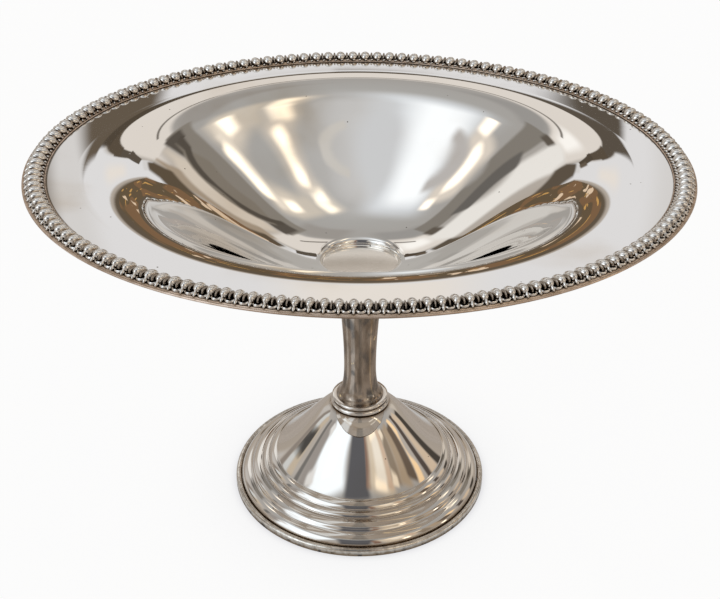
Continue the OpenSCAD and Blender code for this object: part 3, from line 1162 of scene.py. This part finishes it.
def addPatch(tree, group, direction, azimuth, elevation, halfWidth, halfHeight, softness, turn):
    a, e = math.radians(azimuth), math.radians(elevation)
    centre = Vector((math.sin(a) * math.cos(e), -math.cos(a) * math.cos(e), math.sin(e)))
    level = Vector((math.cos(a), math.sin(a), 0))
    right = Matrix.Rotation(-math.radians(turn), 3, centre) @ level
    patch = tree.nodes.new("ShaderNodeGroup")
    patch.node_tree = group
    tree.links.new(direction, patch.inputs["Direction"])
    patch.inputs["Centre"].default_value = centre
    patch.inputs["Right"].default_value = right
    patch.inputs["Up"].default_value = centre.cross(right)
    for name, angle in (("Half Width", halfWidth), ("Half Height", halfHeight),
                        ("Softness", softness)):
        patch.inputs[name].default_value = math.sin(math.radians(angle))
    return patch.outputs["Mask"]


def makeRoom():
    world = bpy.data.worlds.new("room")
    bpy.context.scene.world = world
    world.use_nodes = True
    tree = world.node_tree
    nodes, links = tree.nodes, tree.links
    nodes.clear()
    direction = nodes.new("ShaderNodeTexCoord").outputs["Generated"]
    split = splitPlace(tree, direction)
    ramp = nodes.new("ShaderNodeValToRGB")
    stops = ramp.color_ramp.elements
    for index, (height, tone) in enumerate(room["ramp"]):
        stop = stops[index] if index < 2 else stops.new(height)
        stop.position = height
        stop.color = (*tone, 1)
    links.new(split["Z"], ramp.inputs["Fac"])
    colour = ramp.outputs["Color"]
    group = patchGroup()
    for *place, tone, turn in roomPatches:
        colour = mixedColour(tree, addPatch(tree, group, direction, *place, turn), colour, tone)
    back = maths(tree, "GREATER_THAN", split["Y"], room["againBehind"])
    paler = maths(tree, "MULTIPLY", secondBounce(tree), back)
    colour = mixedColour(tree, paler, colour, room["againTone"])
    white = nodes.new("ShaderNodeBackground")
    white.inputs["Color"].default_value = (1, 1, 1, 1)
    reflected = nodes.new("ShaderNodeBackground")
    reflected.inputs["Strength"].default_value = room["strength"]
    links.new(colour, reflected.inputs["Color"])
    seen = nodes.new("ShaderNodeLightPath")
    chosen = nodes.new("ShaderNodeMixShader")
    links.new(seen.outputs["Is Camera Ray"], chosen.inputs["Fac"])
    links.new(reflected.outputs["Background"], chosen.inputs[1])
    links.new(white.outputs["Background"], chosen.inputs[2])
    output = nodes.new("ShaderNodeOutputWorld")
    links.new(chosen.outputs["Shader"], output.inputs["Surface"])


# Dark board a little behind the bowl, seen in the metal alone. Each spot is a noise and a colour
boardLook = {
    "centre": (0, 300 * mm, 213 * mm),
    "half": (117 * mm, 26 * mm),
    "tone": (0.14, 0.10, 0.06),
    "spots": (
        ((34, 1, 0.54, 0.58, (1, 1, 0.8)), (0.22, 0.13, 0.07)),
        ((60, 1, 0.64, 0.67, (1, 1, 2.5)), (0.62, 0.36, 0.12)),
        ((45, 1, 0.64, 0.67, (1.7, 1, 0.7)), (0.8, 0.62, 0.45)),
    ),
}


def makeBoard():
    look = boardLook
    clearSelection()
    bpy.ops.mesh.primitive_plane_add(size=2, location=(0, 0, 0))
    board = bpy.context.object
    board.name = "darkBoard"
    halfWidth, halfHeight = look["half"]
    bpy.ops.object.mode_set(mode="EDIT")
    bpy.ops.transform.rotate(value=math.pi / 2, orient_axis="X", center_override=(0, 0, 0))
    bpy.ops.transform.resize(value=(halfWidth, 1, halfHeight), center_override=(0, 0, 0))
    bpy.ops.transform.translate(value=look["centre"])
    bpy.ops.object.mode_set(mode="OBJECT")
    board.visible_camera = board.visible_shadow = board.visible_diffuse = False
    material, tree, shader, place = newMaterial("boardClutter")
    colour = look["tone"]
    for spot, tone in look["spots"]:
        colour = mixedColour(tree, noiseMask(tree, place, *spot), colour, tone)
    colour = mixedColour(tree, secondBounce(tree), colour, room["againTone"])
    glow = tree.nodes.new("ShaderNodeEmission")
    tree.links.new(colour, glow.inputs["Color"])
    tree.links.new(glow.outputs[0], tree.nodes["Material Output"].inputs["Surface"])
    board.data.materials.append(material)


# Floor: pale to the camera, shaded near the foot, and to the metal a table with light and dark
# bands that run outward
floorLook = {
    "size": 6,
    "albedo": (0.86, 0.83, 0.80),
    "roughness": 0.8,
    "whiteShare": 0.95,
    "glossyShare": 0.75,
    "near": (0.60, 0.60, 0.60),
    "nearReach": (0.066, 0.085),
    "tone": (0.44, 0.38, 0.33),
    "mottleShare": 0.85,
    "mottle": (9, 2, 0.3, 0.7),
    "shadow": (0.80, 0.80, 0.82),
    "shadowReach": (50 * mm, 0.6, 1.0),
}
# azimuth, half width, softness, colour
floorBands = [
    (-50, 14, 8, (0.92, 0.96, 1.0)),
    (1, 10, 6, (0.22, 0.20, 0.18)),
    (76, 3, 2, (1.2, 0.95, 0.6)),
    (-95, 8, 5, (0.85, 0.84, 0.82)),
]


def floorAzimuth(tree, place):
    split = splitPlace(tree, place)
    return maths(tree, "ARCTAN2", split["X"], maths(tree, "MULTIPLY", split["Y"], -1))


def bandMask(tree, angle, azimuth, halfWidth, softness):
    away = maths(tree, "SUBTRACT", angle, math.radians(azimuth))
    inner = math.radians(halfWidth - softness / 2)
    outer = math.radians(halfWidth + softness / 2)
    return ranged(tree, maths(tree, "ABSOLUTE", away), inner, outer, 1, 0, "SMOOTHSTEP")


def makeFloor():
    look = floorLook
    clearSelection()
    bpy.ops.mesh.primitive_plane_add(size=look["size"], location=(0, 0, 0))
    floor = bpy.context.object
    floor.name = "floor"
    material, tree, shader, place = newMaterial("paleFloor")
    links = tree.links
    shader.inputs["Base Color"].default_value = (*look["albedo"], 1)
    shader.inputs["Roughness"].default_value = look["roughness"]
    angle = floorAzimuth(tree, place)
    darker = [part * look["mottleShare"] for part in look["tone"]]
    colour = mixedColour(tree, noiseMask(tree, place, *look["mottle"]), look["tone"], darker)
    for azimuth, halfWidth, softness, tone in floorBands:
        band = bandMask(tree, angle, azimuth, halfWidth, softness)
        colour = mixedColour(tree, band, colour, tone)
    near = ranged(tree, lengthOf(tree, place), *look["nearReach"], 1, 0)
    colour = mixedColour(tree, near, colour, look["near"])
    shaded = mixedColour(tree, recessShare(tree, *look["shadowReach"]), look["shadow"], (1, 1, 1))
    seen = tree.nodes.new("ShaderNodeLightPath").outputs
    colour = mixedColour(tree, seen["Is Camera Ray"], colour, shaded)
    glow = tree.nodes.new("ShaderNodeEmission")
    links.new(colour, glow.inputs["Color"])
    white = maths(tree, "MULTIPLY", seen["Is Camera Ray"], look["whiteShare"])
    share = maths(tree, "MULTIPLY_ADD", seen["Is Glossy Ray"], look["glossyShare"], white)
    mix = tree.nodes.new("ShaderNodeMixShader")
    links.new(share, mix.inputs["Fac"])
    links.new(shader.outputs[0], mix.inputs[1])
    links.new(glow.outputs[0], mix.inputs[2])
    links.new(mix.outputs[0], tree.nodes["Material Output"].inputs["Surface"])
    floor.data.materials.append(material)


makeBoard()
makeRoom()
makeFloor()
bpy.context.scene.view_settings.view_transform = "Standard"
print("room and floor made")
